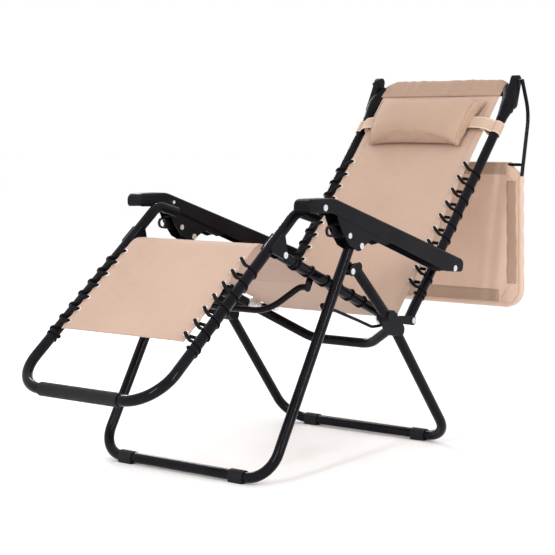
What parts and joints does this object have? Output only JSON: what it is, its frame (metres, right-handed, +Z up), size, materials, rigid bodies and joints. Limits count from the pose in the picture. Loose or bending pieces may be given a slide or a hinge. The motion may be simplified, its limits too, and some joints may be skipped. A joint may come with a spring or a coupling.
{
  "type": "zero gravity recliner",
  "caption": "Folding reclining lounge chair of round steel tube with a laced fabric sling, sliding armrests, head pillow and rear canopy.",
  "frame": {"origin": "on the floor, below the middle of the chair's length and width", "axes": "+Z up, +X to the sitter's left, foot end towards -Y"},
  "size_m": [0.697, 1.7026, 1.119],
  "materials": {
    "black_steel": "glossy powder coat",
    "black_plastic": "fine moulded grain",
    "lever_plastic": "moulded",
    "foot_rubber": "soft plastic",
    "zinc_rivet": "zinc plated",
    "eyelet_metal": "plated ring",
    "sling_fabric": "woven mesh",
    "pillow_fabric": "woven mesh",
    "strap_elastic": "elastic webbing",
    "lacing_cord": "braided elastic cord"
  },
  "bodies": {
    "front_legs": {"front_leg_frame": "black_steel", "front_leg_feet": "foot_rubber", "apex_lugs": "black_steel", "slider_lugs": "black_steel", "link_studs": "zinc_rivet"},
    "rear_legs": {"rear_leg_frame": "black_steel", "rear_leg_feet": "foot_rubber", "rear_leg_arm_left": "black_steel", "rear_leg_arm_right": "black_steel", "rear_leg_hub_left": "black_plastic", "rear_leg_hub_right": "black_plastic", "apex_plates": "black_steel", "apex_rivets": "zinc_rivet"},
    "fold_links": {"fold_link_left": "black_steel", "fold_link_right": "black_steel"},
    "seat_pins": {"seat_rivets": "zinc_rivet"},
    "seat": {"seat_frame": "black_steel", "front_crossbar": "black_steel", "crossbar_brackets": "black_steel", "back_hinge_plates": "black_steel", "hinge_plate_bolts": "zinc_rivet", "link_lugs": "black_steel", "seat_sling": "sling_fabric", "seat_eyelets": "eyelet_metal", "seat_lacing": "lacing_cord"},
    "back_pins": {"back_rivets": "zinc_rivet", "hip_sling": "sling_fabric"},
    "backrest": {"backrest_frame": "black_steel", "back_sling": "sling_fabric", "back_eyelets": "eyelet_metal", "back_lacing": "lacing_cord", "canopy_brackets": "black_steel"},
    "knee_pins": {"knee_rivets": "zinc_rivet", "knee_sling": "sling_fabric"},
    "footrest": {"footrest_frame": "black_steel", "knee_ears": "black_steel", "foot_bar_grip": "foot_rubber", "leg_sling": "sling_fabric", "leg_eyelets": "eyelet_metal", "leg_lacing": "lacing_cord"},
    "arm_pins": {"arm_spacers": "zinc_rivet"},
    "armrests": {"armrest_left": "black_plastic", "armrest_right": "black_plastic", "armrest_rail_left": "black_steel", "armrest_rail_right": "black_steel", "armrest_rivets_left": "zinc_rivet", "armrest_rivets_right": "zinc_rivet"},
    "bracket_pins": {"slider_rivets": "zinc_rivet"},
    "slide_brackets": {"slide_bracket_left": "black_steel", "slide_bracket_right": "black_steel", "lever_pin_left": "zinc_rivet", "lever_pin_right": "zinc_rivet"},
    "lever_left": {"lock_lever_left": "lever_plastic"},
    "lever_right": {"lock_lever_right": "lever_plastic"},
    "canopy": {"canopy_frame": "black_steel", "canopy_cross_tube": "black_steel", "canopy_cover": "sling_fabric", "canopy_rivets": "zinc_rivet"},
    "pillow": {"head_pillow": "pillow_fabric", "pillow_straps": "strap_elastic"}
  },
  "joints": [
    {"name": "leg_fold", "type": "hinge", "parent": "front_legs", "child": "rear_legs", "pos_m": [0, -0.1183, 0.557], "axis": [-1, 0, 0], "range_deg": [0, 71]},
    {"name": "link_fold", "type": "hinge", "parent": "front_legs", "child": "fold_links", "pos_m": [0, -0.1913, 0.463], "axis": [-1, 0, 0], "range_deg": [0, 107.5]},
    {"name": "seat_fold", "type": "hinge", "parent": "rear_legs", "child": "seat_pins", "pos_m": [0, 0.1377, 0.405], "axis": [-1, 0, 0], "range_deg": [0, 18.2]},
    {"name": "seat_tilt", "type": "hinge", "parent": "seat_pins", "child": "seat", "pos_m": [0, 0.1377, 0.405], "axis": [-1, 0, 0], "range_deg": [-5.54, 8.06]},
    {"name": "back_fold", "type": "hinge", "parent": "seat", "child": "back_pins", "pos_m": [0, 0.2447, 0.385], "axis": [-1, 0, 0], "range_deg": [-96.7, 0], "deforming": ["hip_sling"]},
    {"name": "recline", "type": "hinge", "parent": "back_pins", "child": "backrest", "pos_m": [0, 0.2447, 0.385], "axis": [-1, 0, 0], "range_deg": [-12, 18]},
    {"name": "knee_fold", "type": "hinge", "parent": "seat", "child": "knee_pins", "pos_m": [0, -0.3433, 0.612], "axis": [-1, 0, 0], "range_deg": [-103.1, 0], "deforming": ["knee_sling"]},
    {"name": "foot_tilt", "type": "hinge", "parent": "knee_pins", "child": "footrest", "pos_m": [0, -0.3433, 0.612], "axis": [-1, 0, 0], "range_deg": [-14.76, 21.88]},
    {"name": "arm_fold", "type": "hinge", "parent": "backrest", "child": "arm_pins", "pos_m": [0, 0.3687, 0.536], "axis": [-1, 0, 0], "range_deg": [0, 100.7]},
    {"name": "arm_tilt", "type": "hinge", "parent": "arm_pins", "child": "armrests", "pos_m": [0, 0.3687, 0.536], "axis": [-1, 0, 0], "range_deg": [-20.3, 13.7]},
    {"name": "bracket_fold", "type": "hinge", "parent": "front_legs", "child": "bracket_pins", "pos_m": [0, -0.0843, 0.626], "axis": [-1, 0, 0], "range_deg": [0, 93.2]},
    {"name": "bracket_tilt", "type": "hinge", "parent": "bracket_pins", "child": "slide_brackets", "pos_m": [0, -0.0843, 0.626], "axis": [-1, 0, 0], "range_deg": [-5.3, 7.7]},
    {"name": "lock_lever_left", "type": "hinge", "parent": "slide_brackets", "child": "lever_left", "pos_m": [0, -0.1363, 0.657], "axis": [1, 0, 0], "range_deg": [0, 22], "stiffness_Nm_per_rad": 0.4},
    {"name": "lock_lever_right", "type": "hinge", "parent": "slide_brackets", "child": "lever_right", "pos_m": [0, -0.1363, 0.657], "axis": [1, 0, 0], "range_deg": [0, 22], "stiffness_Nm_per_rad": 0.4},
    {"name": "canopy_swing", "type": "hinge", "parent": "backrest", "child": "canopy", "pos_m": [0, 0.8087, 1.107], "axis": [-1, 0, 0], "range_deg": [-210, 0]},
    {"name": "pillow_slide", "type": "slide", "parent": "backrest", "child": "pillow", "axis": [0, 0.6361, 0.7716], "range_m": [-0.12, 0]}
  ],
  "couplings": [
    {"joint": "link_fold", "follows": "leg_fold", "ratio": 1.507},
    {"joint": "seat_fold", "follows": "leg_fold", "ratio": 0.2493},
    {"joint": "seat_tilt", "follows": "recline", "ratio": 0.42},
    {"joint": "back_fold", "follows": "leg_fold", "ratio": -1.3549},
    {"joint": "knee_fold", "follows": "leg_fold", "ratio": -1.4451},
    {"joint": "foot_tilt", "follows": "recline", "ratio": 1.188},
    {"joint": "arm_fold", "follows": "leg_fold", "ratio": 1.4113},
    {"joint": "arm_tilt", "follows": "recline", "ratio": -1.1},
    {"joint": "bracket_fold", "follows": "leg_fold", "ratio": 1.3056},
    {"joint": "bracket_tilt", "follows": "recline", "ratio": 0.4}
  ]
}
